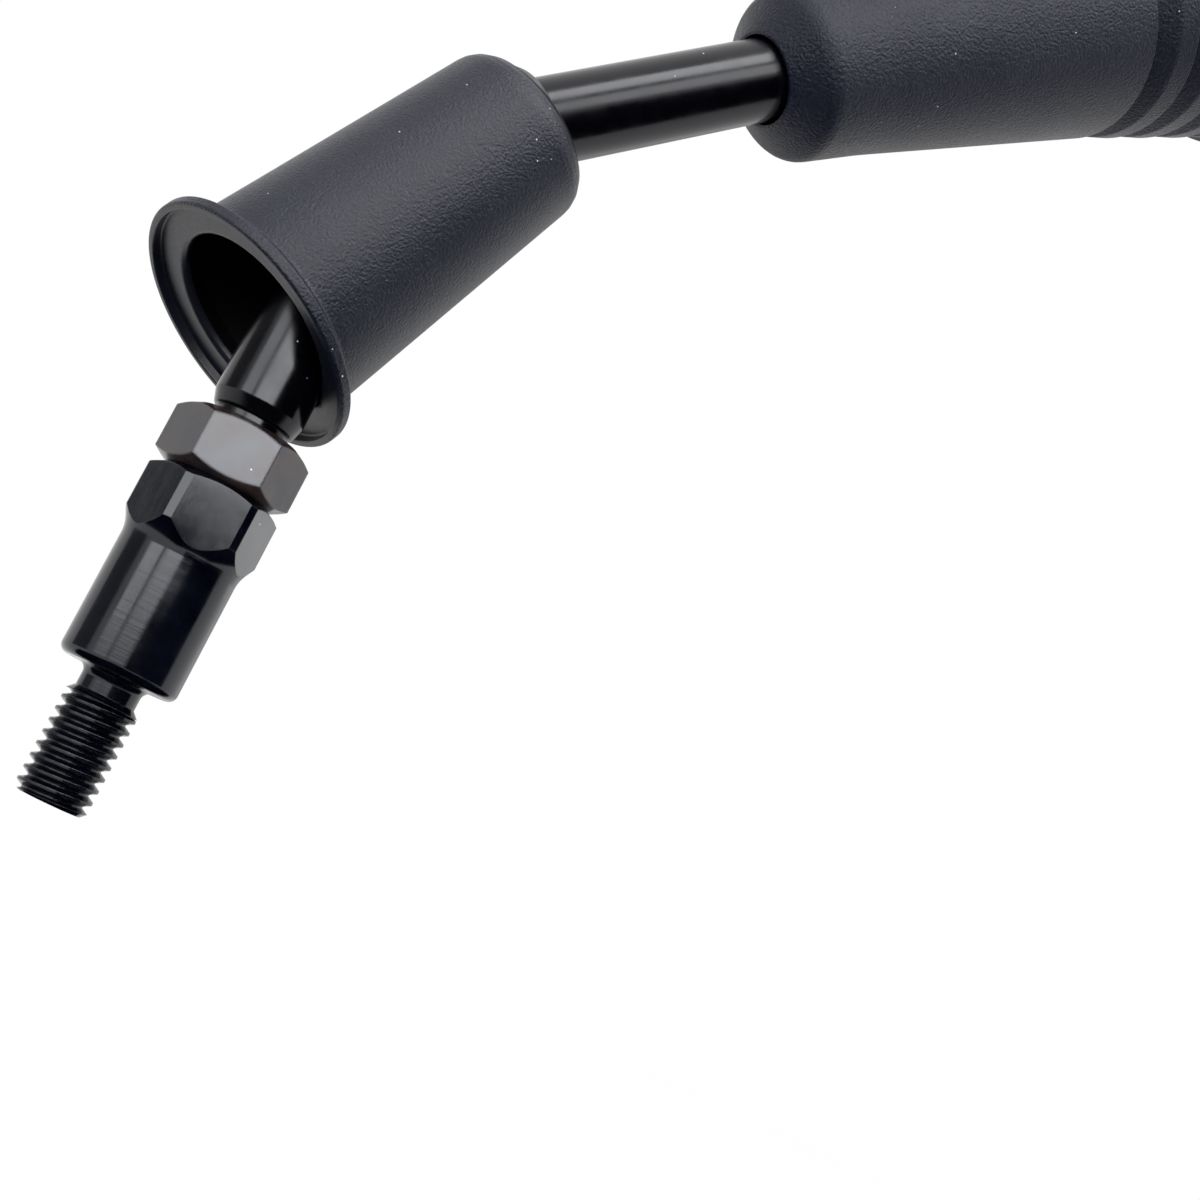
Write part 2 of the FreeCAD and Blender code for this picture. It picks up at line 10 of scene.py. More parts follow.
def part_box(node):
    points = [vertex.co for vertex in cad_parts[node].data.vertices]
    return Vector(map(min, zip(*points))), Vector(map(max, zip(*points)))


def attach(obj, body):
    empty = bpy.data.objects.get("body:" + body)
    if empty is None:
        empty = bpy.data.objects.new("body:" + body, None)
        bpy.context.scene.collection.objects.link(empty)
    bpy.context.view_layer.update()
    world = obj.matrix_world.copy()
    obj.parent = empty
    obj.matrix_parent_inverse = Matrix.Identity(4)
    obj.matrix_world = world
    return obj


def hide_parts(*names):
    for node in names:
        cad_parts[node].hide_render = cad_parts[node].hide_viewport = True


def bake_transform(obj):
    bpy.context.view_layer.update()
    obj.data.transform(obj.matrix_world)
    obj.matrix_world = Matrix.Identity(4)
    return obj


# Mirror stem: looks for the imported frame. Lengths are written in millimetres and turned into metres by MM.
MM = 0.001

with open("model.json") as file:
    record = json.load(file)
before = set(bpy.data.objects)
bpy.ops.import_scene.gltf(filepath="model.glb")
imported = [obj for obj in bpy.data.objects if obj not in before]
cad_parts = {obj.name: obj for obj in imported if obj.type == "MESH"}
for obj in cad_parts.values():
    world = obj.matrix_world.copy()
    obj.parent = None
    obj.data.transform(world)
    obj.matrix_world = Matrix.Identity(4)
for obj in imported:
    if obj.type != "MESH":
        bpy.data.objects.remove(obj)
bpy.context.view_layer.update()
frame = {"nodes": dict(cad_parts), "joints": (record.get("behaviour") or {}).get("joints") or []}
nodes = frame["nodes"]
joints = {joint["name"]: joint for joint in frame["joints"]}

# The rod, as the frame's joints and boxes give it
GRIP = Vector(joints["boot_lean"]["pos_m"])
BALL = Vector(joints["head_tilt"]["pos_m"])
ROD_WAY = Vector(joints["head_roll"]["axis"]).normalized()
ROD_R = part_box("stem_rod")[1].y
BEND_RADIUS = GRIP.x / (1 - ROD_WAY.z)
BEND_START = GRIP.z - BEND_RADIUS * ROD_WAY.x
BEND_CENTRE = Vector((BEND_RADIUS, 0, BEND_START))
BALL_REACH = (BALL - GRIP).dot(ROD_WAY)

# Outlines and rings of the rubber
FILLET_STEPS = 6
SUPPORT_GAP = 0.15 * MM
LONGEST_RUN = 2.0 * MM
LOWER_BOOT_SIDES = 160
UPPER_BOOT_SIDES = 144

# Lower boot, as it sits in the photograph
BOOT_MOUTH = Vector((-5.9, 2.95, 46.7)) * MM
BOOT_MOUTH_WAY = Vector((0.4557, 0.1178, 0.8823)).normalized()
BOOT_NECK = GRIP + Vector((0.53, -0.30, -0.05)) * MM
BOOT_END = 1.35 * MM
BOOT_NARROW_R = 12.3 * MM
BOOT_WIDE_R = 14.85 * MM
BOOT_WALL = 1.8 * MM
BOOT_END_ROUND = 4.5 * MM
BOOT_TAPER = 0.053
FLANGE_R = 18.0 * MM
FLANGE_THICK = 1.5 * MM
FLANGE_RIM = 1.05 * MM
FLANGE_RECESS = 1.3 * MM
FLANGE_SLOPE = 1.6 * MM
FLANGE_BACK = 2.2 * MM
FLANGE_FOOT = 1.0 * MM
MOUTH_R = 12.6 * MM
MOUTH_ROUND = 0.7 * MM
MOUTH_DEPTH = 0.2 * MM
BORE_ROOM = 0.2 * MM
BORE_R = ROD_R + BORE_ROOM
GRIP_LENGTH = 2.6 * MM
ROD_CLEARANCE = 0.25 * MM

# How far the lower boot's rings lean with its mouth, and where its inner rings turn square to the rod
TILT_REACH = 14.0 * MM
ROD_TURN_START = 2.5 * GRIP_LENGTH
ROD_TURN_LENGTH = 1.5 * GRIP_LENGTH
ROD_TURN_R = BOOT_NARROW_R * 0.8

# Fillets of the lower boot
RIM_FOOT_FILLET = 0.25 * MM
RIM_FILLET = 0.2 * MM
FLANGE_FILLET = 0.4 * MM
FLANGE_BACK_FILLET = 0.6 * MM
FLANGE_FOOT_FILLET = 1.2 * MM
GRIP_FILLET = 0.5 * MM
BOOT_SHOULDER_FILLET = 1.2 * MM
BOOT_HOLLOW_FILLET = 0.8 * MM

# Where the lower boot's finishes meet
INSIDE_FROM_WALL = 0.6 * BOOT_WALL
INSIDE_FROM_END = 0.5 * MM
FACE_FROM_EDGE = 0.3 * MM

# Upper boot, measured along the rod from the grip lip
CONE_START = 42.0 * MM
NOSE_LENGTH = 5.6 * MM
NOSE_R = 12.85 * MM
NOSE_ROUND = 3.6 * MM
NOSE_FACE_LEAN = 3.8 * MM
NOSE_SAG = 0.4 * MM
NOSE_SAG_REACH = 20.0 * MM
SAG_WAY = (-29, -5)
CONE_HOLLOW = 0.22 * MM
CONE_HOLLOW_AT = 16.0 * MM
CONE_HOLLOW_ROUND = 80.0 * MM
RIM_R = 6.8 * MM
RIM_EDGE = 0.2 * MM
CONE_MOUTH_R = 6.55 * MM
CONE_MOUTH_DEPTH = 1.6 * MM
CONE_MOUTH_STEP = 0.6 * CONE_MOUTH_DEPTH
CONE_BORE_R = ROD_R + 0.15 * MM
CONE_BORE_DEPTH = 6.0 * MM
CONE_END_R = 19.2 * MM
CONE_WALL = 2.2 * MM

# Bellows of the upper boot and the cuff behind it
RING_COUNT = 4
FRONT_RINGS = 2
RING_PITCH = 8.5 * MM
RING_GROWTH = 1.37 * MM
GROOVE_DEPTH = 2.0 * MM
GROOVE_START = 0.4 * MM
GROOVE_END = 1.8 * MM
SHOULDER = 4.8 * MM
SHOULDER_DROP = 0.8 * MM
BELLOWS_WALL = 1.5 * MM
CUFF_LENGTH = 5.0 * MM
CUFF_WALL = 1.6 * MM
CUFF_LEAD = 0.5 * MM
BEAD_HEIGHT = 0.5 * MM
BEAD_FOOT = 1.6 * MM
BEAD_LENGTH = 1.2 * MM
CONE_END = BALL_REACH - FRONT_RINGS * RING_PITCH

# Fillets of the upper boot, its bellows and its cuff
CONE_MOUTH_FILLET = 0.08 * MM
RIM_EDGE_FILLET = 0.1 * MM
CONE_BORE_FILLET = 0.2 * MM
CONE_STEP_FILLET = 0.3 * MM
CONE_END_FILLET = 0.4 * MM
CONE_BORE_END_FILLET = 0.5 * MM
CONE_HOLLOW_FILLET = 1.0 * MM
SEAM_FILLET = 0.3 * MM
RING_FILLET = 0.35 * MM
SHOULDER_FILLET = 1.2 * MM
CUFF_FILLET = 0.3 * MM
BEAD_FILLET = 0.2 * MM

# Parting line of the upper boot's moulding: its angle at both ends of the cone, and its relief
PARTING_ANGLES = (-101.0, -95.0)
PARTING_STEP = 0.09 * MM
PARTING_STEP_WIDTH = 1.2 * MM
PARTING_GROOVE = 0.16 * MM
PARTING_WIDTH = 0.22 * MM
PARTING_SHARES = (0.0, 0.25, 0.5, 1.0, 2.0, 4.0)
PARTING_ROOM = 6
PARTING_START = 0.8 * NOSE_LENGTH
PARTING_FADE = 0.5 * NOSE_LENGTH

# Gasket on the bracket's plate
GASKET_MARGIN = 0.8 * MM
GASKET_BORE_R = 7.0 * MM
GASKET_THICK = 1.5 * MM
GASKET_EDGE = 0.2 * MM
GASKET_CURVE_STEPS = 24
GASKET_EDGE_STEPS = 2
HEAD_BOLT_CIRCLE_R = 13.0 * MM
HEAD_BOLT_HOLE_R = 2.6 * MM
HEAD_BOLT_ANGLES = (60, 180, 300)

# Shader effects: ranges of the noise in use, shares, stretches along Z and counts in a metre
NOISE_LOW = 0.35
NOISE_HIGH = 0.7
WRINKLE_SHARE = 0.75
PEBBLE_SHARE = 0.35
PATCHES_PER_METRE = 90.0
PATCH_WEAKEST = 0.75
DUST_CORE = 0.04
DUST_EDGE = 0.08
SPECKS_PER_METRE = 600.0
DUST_COLOUR = (0.55, 0.56, 0.57, 1)
SCRATCH_STRETCH = (1.0, 1.0, 0.06)
SCRATCH_WIDTH = 0.02
WAVE_STRETCH = (1.0, 1.0, 0.35)
WAVES_PER_METRE = 300.0
TURNING_STRETCH = (0.02, 0.02, 1.0)
ADAPTER_ROUND_TOP = 16.8 * MM

# Finishes: rubber, by its grain
RUBBERS = {
    "fine_rubber": dict(
        grain_per_metre=2800.0,
        grain_depth=0.22 * MM,
        base=(0.0005, 0.002, 0.009, 1),
        raised=(0.004, 0.006, 0.016, 1),
        roughness=0.36,
        ior=1.45,
    ),
    "coarse_rubber": dict(
        grain_per_metre=2400.0,
        grain_depth=0.37 * MM,
        base=(0.0005, 0.002, 0.010, 1),
        raised=(0.004, 0.006, 0.018, 1),
        roughness=0.38,
        ior=1.38,
    ),
    "satin_rubber": dict(
        grain_per_metre=2400.0,
        grain_depth=0.02 * MM,
        base=(0.003, 0.004, 0.010, 1),
        raised=(0.006, 0.007, 0.013, 1),
        roughness=0.34,
        ior=1.5,
    ),
    # Inside of the lower boot: near-black, duller rubber that is painted shade in the hollow bell
    "painted_shade_inner_rubber": dict(
        grain_per_metre=2000.0,
        grain_depth=0.04 * MM,
        base=(0.0005, 0.0005, 0.002, 1),
        raised=(0.001, 0.001, 0.002, 1),
        roughness=0.6,
        ior=1.2,
        bare_share=0.998,
    ),
}

# Finishes: glossy black on hard parts
GLOSSY_BLACKS = {
    "black_plating": dict(
        base=(0.0004, 0.0006, 0.0020, 1),
        smudged=(0.0015, 0.002, 0.005, 1),
        roughness=0.12,
        ior=1.52,
        lines_per_metre=2500.0,
        edge_round=0.15 * MM,
    ),
    "black_oxide": dict(
        base=(0.002, 0.004, 0.009, 1),
        smudged=(0.030, 0.016, 0.010, 1),
        roughness=0.16,
        ior=1.58,
        edge_round=0.45 * MM,
    ),
    "black_paint": dict(
        base=(0.0004, 0.0004, 0.0012, 1),
        smudged=(0.001, 0.001, 0.002, 1),
        roughness=0.15,
        ior=1.42,
    ),
}

# Finishes: steel without a black coat
BARE_METALS = {
    "bearing_steel": dict(
        base=(0.50, 0.50, 0.51, 1), smudged=(0.40, 0.40, 0.40, 1), roughness=0.16, lines_per_metre=3000.0
    ),
    "zinc_steel": dict(
        base=(0.55, 0.56, 0.58, 1), smudged=(0.44, 0.44, 0.42, 1), roughness=0.30, lines_per_metre=2000.0
    ),
}

# Finishes: plastic, casting and foam
GRAINY_SOLIDS = {
    "white_nylon": dict(
        base=(0.62, 0.61, 0.57, 1),
        raised=(0.70, 0.69, 0.66, 1),
        roughness=0.50,
        grain_per_metre=1800.0,
        grain_depth=0.01 * MM,
    ),
    "cast_alloy": dict(
        base=(0.010, 0.010, 0.012, 1),
        raised=(0.020, 0.020, 0.023, 1),
        roughness=0.42,
        grain_per_metre=1500.0,
        grain_depth=0.04 * MM,
    ),
    "gasket_foam": dict(
        base=(0.016, 0.016, 0.017, 1),
        raised=(0.034, 0.034, 0.036, 1),
        roughness=0.85,
        grain_per_metre=1200.0,
        grain_depth=0.12 * MM,
    ),
}

# Finish of each hard part, and of the lower boot's outside, flange face and inside, where a near-black
# rubber is painted shade
NODE_FINISHES = {
    "stud_adapter": "black_plating",
    "lock_nut": "black_oxide",
    "stem_rod": "black_paint",
    "stem_ball": "bearing_steel",
    "ball_liner_lower": "white_nylon",
    "ball_liner_upper": "white_nylon",
    "socket_retainer": "zinc_steel",
    "socket_seat": "zinc_steel",
    "clamp_screws": "zinc_steel",
    "lock_washers": "zinc_steel",
    "head_bracket": "cast_alloy",
}
LOWER_BOOT_FINISHES = ("fine_rubber", "satin_rubber", "painted_shade_inner_rubber")

# Camera of the photograph
CAMERA_PLACE = Vector((-71.61, -221.18, -7.96)) * MM
CAMERA_LOOK = Vector((0.4957, 0.8481, 0.1871))
CAMERA_UP = Vector((-0.4609, 0.0743, 0.8844))
CAMERA_LENS = 54.45
CAMERA_SENSOR = 36
CAMERA_NEAR = 0.01

# Studio, in metres
STUDIO_CENTRE = Vector((30, 0, 80)) * MM
LAMP_DISTANCE = 1.2
CARD_DISTANCE = 0.8
FLOOR_HEIGHT = -0.12
FLOOR_SIZE = 6.0
FLOOR_TONE = 0.82
FLOOR_ROUGHNESS = 0.9
FLOOR_GLOSS = 0.1
FLOOR_GLOW = 0.8
FLOOR_GLOW_STRENGTH = 1.12
FLOOR_CARD_CENTRE = Vector((0, -200, 0)) * MM
FLOOR_CARD_LIFT = 2 * MM
FLOOR_CARD_SIZE = (700 * MM, 640 * MM)
ROOM_LIGHT = 0.55

# Softboxes: azimuth, elevation, width and height in degrees, and brightness, where 1 is white
LAMPS = {
    "key_left": (-155, 12, 26, 24, 3.6),
    "key_right": (-122.5, 12, 29, 24, 2.9),
    "key_core": (-108, 10.4, 46, 10.4, 3.7),
    "key_fill": (-97, 9, 22, 14, 3.8),
    "side_strip": (24, 5.5, 14, 5, 0.8),
    "front_strip": (-70, 41, 40, 16, 3.7),
    "top_strip": (-98, 64, 60, 17, 6.2),
}

# Cards that only shiny surfaces see: brightness, then azimuth, elevation, width and height in degrees
CARDS = {
    "front_card": (0.0, -53, 4, 64, 48),
    "low_front_card": (0.0, -95, -8, 20, 26),
    "left_card": (0.2, 160, 4, 38, 24),
    "right_card": (0.6, 60, 10, 32, 50),
}


def smooth(amount):
    """Eases from 0 to 1, flat at both ends."""
    amount = min(max(amount, 0.0), 1.0)
    return amount * amount * (3 - 2 * amount)


def heading(azimuth, elevation):
    """Unit vector for a compass direction, counted from +X towards +Y, and a height above the horizon."""
    a = math.radians(azimuth)
    b = math.radians(elevation)
    return Vector((math.cos(a) * math.cos(b), math.sin(a) * math.cos(b), math.sin(b)))


def in_scene(name, data):
    """New object of a mesh, curve, lamp or camera, put in the scene."""
    thing = bpy.data.objects.new(name, data)
    bpy.context.scene.collection.objects.link(thing)
    return thing


# Outlines: corners of (along, radius, fillet), joined by straight runs
def filleted(corners):
    """Closed outline of corners with rounded ones as arcs, as a list of (along, radius)."""
    points = []
    count = len(corners)
    for i in range(count):
        here = Vector(corners[i][:2])
        fillet = corners[i][2]
        back = (Vector(corners[i - 1][:2]) - here).normalized()
        ahead = (Vector(corners[(i + 1) % count][:2]) - here).normalized()
        if fillet <= 0:
            points.append(here)
            continue
        half = math.acos(max(-1.0, min(1.0, back.dot(ahead)))) / 2
        run = fillet / math.tan(half)
        centre = here + (back + ahead).normalized() * (fillet / math.sin(half))
        start = here + back * run - centre
        end = here + ahead * run - centre
        for k in range(FILLET_STEPS + 1):
            part = start.lerp(end, k / FILLET_STEPS).normalized()
            points.append(centre + part * fillet)
    return points


def divided(points):
    """The same closed outline with its long runs divided, and a point kept close to each end of a run."""
    result = []
    for i in range(len(points)):
        here = points[i]
        there = points[(i + 1) % len(points)]
        run = (there - here).length
        result.append(here)
        if run < 3 * SUPPORT_GAP:
            continue
        pieces = max(1, math.ceil((run - 2 * SUPPORT_GAP) / LONGEST_RUN))
        for k in range(pieces + 1):
            share = (SUPPORT_GAP + (run - 2 * SUPPORT_GAP) * k / pieces) / run
            result.append(here.lerp(there, share))
    return result


# Meshes made of rings
def skin(name, rings):
    """Closed mesh through a loop of rings, each ring a loop of as many points."""
    around = len(rings[0])
    points = [point for ring in rings for point in ring]
    faces = []
    for i in range(len(rings)):
        j = (i + 1) % len(rings)
        for k in range(around):
            m = (k + 1) % around
            faces.append((i * around + k, i * around + m, j * around + m, j * around + k))
    mesh = bpy.data.meshes.new(name)
    mesh.from_pydata(points, [], faces)
    work = bmesh.new()
    work.from_mesh(mesh)
    bmesh.ops.recalc_face_normals(work, faces=work.faces)
    work.to_mesh(mesh)
    work.free()
    mesh.shade_smooth()
    remember_place(mesh)
    return in_scene(name, mesh)


def remember_place(mesh):
    """Keeps each point's place at rest, so that a pattern stays on the rubber when it bends."""
    places = np.zeros(len(mesh.vertices) * 3, np.float32)
    mesh.vertices.foreach_get("co", places)
    mesh.attributes.new("rest_place", "FLOAT_VECTOR", "POINT").data.foreach_set("vector", places)


def ring_points(centre, way, radius, angles):
    """Circle square to way, its angles counted from the inner side of the rod's bend."""
    side = Vector((0, 1, 0)).cross(way).normalized()
    front = way.cross(side)
    return [centre + (side * math.cos(a) + front * math.sin(a)) * radius for a in angles]


def even_angles(count):
    return [2 * math.pi * k / count for k in range(count)]


# Lower boot
def rod_line_point(place):
    """Nearest point to a place on the rod's centre line."""
    if place.z <= BEND_START:
        return Vector((0, 0, place.z))
    along = (place - GRIP).dot(ROD_WAY)
    if along >= 0:
        return GRIP + ROD_WAY * along
    flat = Vector((place.x - BEND_CENTRE.x, 0, place.z - BEND_CENTRE.z)).normalized()
    return BEND_CENTRE + flat * BEND_RADIUS


def clear_of_rod(place):
    """The place itself, or where the rod pushes the rubber aside."""
    nearest = rod_line_point(place)
    away = place - nearest
    room = ROD_R + ROD_CLEARANCE
    if away.length >= room:
        return place
    return nearest + away.normalized() * room


def lower_boot_corners(length):
    """Outline of the lower boot from its mouth, as (distance along the boot, radius, fillet)."""
    rim_inside = FLANGE_R - FLANGE_RIM
    shoulder = length - BOOT_WALL - GRIP_LENGTH
    return [
        (FLANGE_RECESS, rim_inside, RIM_FOOT_FILLET),
        (0, rim_inside, RIM_FILLET),
        (0, FLANGE_R, FLANGE_FILLET),
        (FLANGE_THICK, FLANGE_R, FLANGE_FILLET),
        (FLANGE_BACK, FLANGE_R - FLANGE_SLOPE, FLANGE_BACK_FILLET),
        (FLANGE_BACK + FLANGE_FOOT, BOOT_WIDE_R, FLANGE_FOOT_FILLET),
        (length, BOOT_WIDE_R - BOOT_TAPER * length, BOOT_END_ROUND),
        (length, BORE_R, GRIP_FILLET),
        (length - GRIP_LENGTH, BORE_R, GRIP_FILLET),
        (shoulder, BOOT_NARROW_R - BOOT_WALL, BOOT_SHOULDER_FILLET),
        (FLANGE_BACK + BOOT_WALL, BOOT_WIDE_R - BOOT_WALL, BOOT_HOLLOW_FILLET),
        (FLANGE_BACK + MOUTH_DEPTH, MOUTH_R, MOUTH_ROUND / 2),
        (FLANGE_RECESS, MOUTH_R, MOUTH_ROUND),
    ]


def lower_boot_ring(along, radius, length, boot_way, angles):
    """One ring of the lower boot: square to the mouth, then to the boot, and to the rod at its bore."""
    to_mouth = 1 - smooth((along - FLANGE_BACK) / TILT_REACH)
    near_end = smooth((along - length + ROD_TURN_START) / ROD_TURN_LENGTH)
    to_rod = near_end * smooth((ROD_TURN_R - radius) / (ROD_TURN_R - BORE_R))
    way = boot_way.lerp(BOOT_MOUTH_WAY, to_mouth).lerp(ROD_WAY, to_rod).normalized()
    centre = BOOT_MOUTH + boot_way * along
    on_rod = GRIP + ROD_WAY * ((centre - GRIP).dot(boot_way) / ROD_WAY.dot(boot_way))
    ring = ring_points(centre.lerp(on_rod, to_rod), way, radius, angles)
    if to_rod < 0.5:
        ring = [clear_of_rod(place) for place in ring]
    return ring


def lower_boot():
    """The sleeve with its flanged bell mouth and the lip that grips the rod, in one moulding."""
    boot_way = (BOOT_NECK - BOOT_MOUTH).normalized()
    length = (BOOT_NECK - BOOT_MOUTH).length + BOOT_END
    outline = divided(filleted(lower_boot_corners(length)))
    angles = even_angles(LOWER_BOOT_SIDES)
    rings = [lower_boot_ring(along, radius, length, boot_way, angles) for along, radius in outline]
    piece = skin("lower_boot_sleeve", rings)
    for finish_name in LOWER_BOOT_FINISHES:
        piece.data.materials.append(FINISHES[finish_name])
    picked = []
    for i in range(len(outline)):
        middle = (outline[i] + outline[(i + 1) % len(outline)]) / 2
        finish_name = lower_boot_finish(middle.x, middle.y, length)
        picked += [LOWER_BOOT_FINISHES.index(finish_name)] * len(angles)
    piece.data.polygons.foreach_set("material_index", picked)
    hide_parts("lower_boot", "lower_boot_lip")
    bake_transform(piece)
    return piece


def lower_boot_finish(along, radius, length):
    """Finish at a point of the outline: near-black inside as painted shade, satin on the flange's face,
    grained elsewhere.
    """
    outer_r = BOOT_WIDE_R - BOOT_TAPER * along
    if FLANGE_BACK < along < length - INSIDE_FROM_END and radius < outer_r - INSIDE_FROM_WALL:
        return "painted_shade_inner_rubber"
    in_flange = along < FLANGE_BACK and radius < FLANGE_R - FACE_FROM_EDGE
    if in_flange and (along < FLANGE_THICK or radius < BOOT_WIDE_R):
        return "satin_rubber"
    return "fine_rubber"


# Upper boot and bellows
def ring_edge(k):
    """Radius of the edge that bellows ring k starts from."""
    return CONE_END_R + k * RING_GROWTH


def bellows_seam():
    """Where the boot's front half ends, in a groove at the ball: distance along the rod and radius."""
    return BALL_REACH + (GROOVE_START + GROOVE_END) / 2, ring_edge(FRONT_RINGS) - GROOVE_DEPTH


def bellows_corners(first, last):
    """Outer outline of the bellows rings from first up to last, each a groove, a ramp and an edge."""
    corners = []
    for k in range(first, last):
        start = CONE_END + k * RING_PITCH
        floor = ring_edge(k) - GROOVE_DEPTH
        corners.append((start + GROOVE_START, floor, RING_FILLET))
        corners.append((start + GROOVE_END, floor, RING_FILLET))
        corners.append((start + SHOULDER, ring_edge(k + 1) - SHOULDER_DROP, SHOULDER_FILLET))
        corners.append((start + RING_PITCH, ring_edge(k + 1), RING_FILLET))
    return corners


def bellows_inside(along):
    """Radius of the bellows' bore."""
    share = (along - CONE_END) / (RING_COUNT * RING_PITCH)
    return CONE_END_R - GROOVE_DEPTH - BELLOWS_WALL + share * (RING_COUNT - 1) * RING_GROWTH


def upper_boot_corners(seam, seam_r):
    """Outline of the long cone with its nose, and the front bellows rings."""
    nose_end = CONE_START + NOSE_LENGTH
    taper = (CONE_END_R - NOSE_R) / (CONE_END - nose_end)
    nose_corner = CONE_START + NOSE_FACE_LEAN
    hollow_at = CONE_START + CONE_HOLLOW_AT
    corners = [
        (CONE_START + CONE_MOUTH_DEPTH, CONE_BORE_R, CONE_BORE_FILLET),
        (CONE_START + CONE_MOUTH_STEP, CONE_MOUTH_R, CONE_STEP_FILLET),
        (CONE_START, CONE_MOUTH_R, CONE_MOUTH_FILLET),
        (CONE_START, RIM_R + RIM_EDGE, RIM_EDGE_FILLET),
        (nose_corner, NOSE_R - taper * (nose_end - nose_corner), NOSE_ROUND),
        (hollow_at, NOSE_R + taper * (hollow_at - nose_end) - CONE_HOLLOW, CONE_HOLLOW_ROUND),
        (CONE_END, CONE_END_R, CONE_END_FILLET),
    ]
    corners += bellows_corners(0, FRONT_RINGS)
    corners += [
        (seam - GROOVE_END / 2, ring_edge(FRONT_RINGS) - GROOVE_DEPTH, SEAM_FILLET),
        (seam, seam_r, 0),
        (seam, bellows_inside(seam), 0),
        (CONE_END, bellows_inside(CONE_END), CONE_HOLLOW_FILLET),
        (nose_end, NOSE_R - CONE_WALL, CONE_HOLLOW_FILLET),
        (CONE_START + CONE_BORE_DEPTH, CONE_BORE_R, CONE_BORE_END_FILLET),
    ]
    return corners


def upper_boot_angles():
    """Even angles with more of them where the moulding's parting line runs."""
    close = PARTING_WIDTH / NOSE_R
    near = [close * share for share in PARTING_SHARES]
    extra = near + [2 * math.pi - a for a in near[1:]]
    room = PARTING_ROOM * close
    spaced = [a for a in even_angles(UPPER_BOOT_SIDES) if room < a < 2 * math.pi - room]
    return sorted(spaced + extra)


def parting_relief(turn, radius):
    """How far the surface stands off near the parting line: a groove, and one half a little prouder."""
    if turn > math.pi:
        turn -= 2 * math.pi
    across = turn * radius
    groove = -PARTING_GROOVE * max(0.0, 1 - abs(across) / PARTING_WIDTH * 2)
    if across <= 0:
        return groove
    return groove + PARTING_STEP * smooth(1 - abs(across - PARTING_STEP_WIDTH) / PARTING_STEP_WIDTH)


def upper_boot_ring(along, radius, on_cone, angles):
    """One ring of the upper boot, turned so that its first angle follows the parting line."""
    share = (along - CONE_START) / (CONE_END - CONE_START)
    turn = math.radians(PARTING_ANGLES[0] + (PARTING_ANGLES[1] - PARTING_ANGLES[0]) * share)
    sag = smooth((radius - RIM_R) / (NOSE_R - RIM_R)) * (1 - smooth((along - CONE_START) / NOSE_SAG_REACH))
    centre = GRIP + ROD_WAY * along + heading(*SAG_WAY) * NOSE_SAG * sag
    fade = smooth((along - CONE_START - PARTING_START) / PARTING_FADE) if on_cone else 0.0
    side = Vector((0, 1, 0)).cross(ROD_WAY).normalized()
    front = ROD_WAY.cross(side)
    ring = []
    for a in angles:
        reach = radius + fade * parting_relief(a, radius)
        ring.append(centre + (side * math.cos(a - turn) + front * math.sin(a - turn)) * reach)
    return ring


def upper_boot():
    """The long cone over the rod's end, in one moulding with the first half of the bellows."""
    seam, seam_r = bellows_seam()
    outline = divided(filleted(upper_boot_corners(seam, seam_r)))
    angles = upper_boot_angles()
    rings = []
    for along, radius in outline:
        on_cone = along < CONE_END and radius > NOSE_R - 0.5 * CONE_WALL and radius > bellows_inside(along)
        rings.append(upper_boot_ring(along, radius, on_cone, angles))
    piece = skin("upper_boot_cone", rings)
    piece.data.materials.append(FINISHES["coarse_rubber"])
    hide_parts("upper_boot", "boot_bellows")
    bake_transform(piece)
    return piece


def bellows_rear():
    """The second half of the bellows and the cuff that sits on the bracket's collar."""
    seam, seam_r = bellows_seam()
    cuff_start = CONE_END + RING_COUNT * RING_PITCH
    cuff_end = cuff_start + CUFF_LENGTH
    cuff_r = ring_edge(RING_COUNT) - GROOVE_DEPTH / 2
    corners = [(seam, seam_r, 0)]
    corners += bellows_corners(FRONT_RINGS, RING_COUNT)[1:]
    corners += [
        (cuff_start + GROOVE_START, cuff_r, CUFF_FILLET),
        (cuff_end - BEAD_FOOT, cuff_r, CUFF_FILLET),
        (cuff_end - BEAD_LENGTH, cuff_r + BEAD_HEIGHT, BEAD_FILLET),
        (cuff_end, cuff_r + BEAD_HEIGHT, CUFF_FILLET),
        (cuff_end, cuff_r - CUFF_WALL, BEAD_FILLET),
        (cuff_start, cuff_r - CUFF_WALL, CUFF_FILLET),
        (cuff_start - CUFF_LEAD, bellows_inside(cuff_start), CUFF_FILLET),
        (seam, bellows_inside(seam), 0),
    ]
    outline = divided(filleted(corners))
    angles = even_angles(UPPER_BOOT_SIDES)
    rings = [ring_points(GRIP + ROD_WAY * along, ROD_WAY, radius, angles) for along, radius in outline]
    piece = skin("upper_boot_bellows_rear", rings)
    piece.data.materials.append(FINISHES["coarse_rubber"])
    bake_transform(piece)
    return piece


# Gasket
def round_hole(curve, centre, radius):
    """Closed circle of four handles on a flat curve, an outline or a hole in it."""
    handle = radius * 4 / 3 * math.tan(math.pi / 8)
    spline = curve.splines.new("BEZIER")
    spline.bezier_points.add(3)
    for k in range(4):
        a = math.pi / 2 * k
        out = Vector((math.cos(a), math.sin(a), 0))
        sideways = Vector((-math.sin(a), math.cos(a), 0))
        place = Vector(centre) + out * radius
        point = spline.bezier_points[k]
        point.co = place
        point.handle_left = place - sideways * handle
        point.handle_right = place + sideways * handle
    spline.use_cyclic_u = True


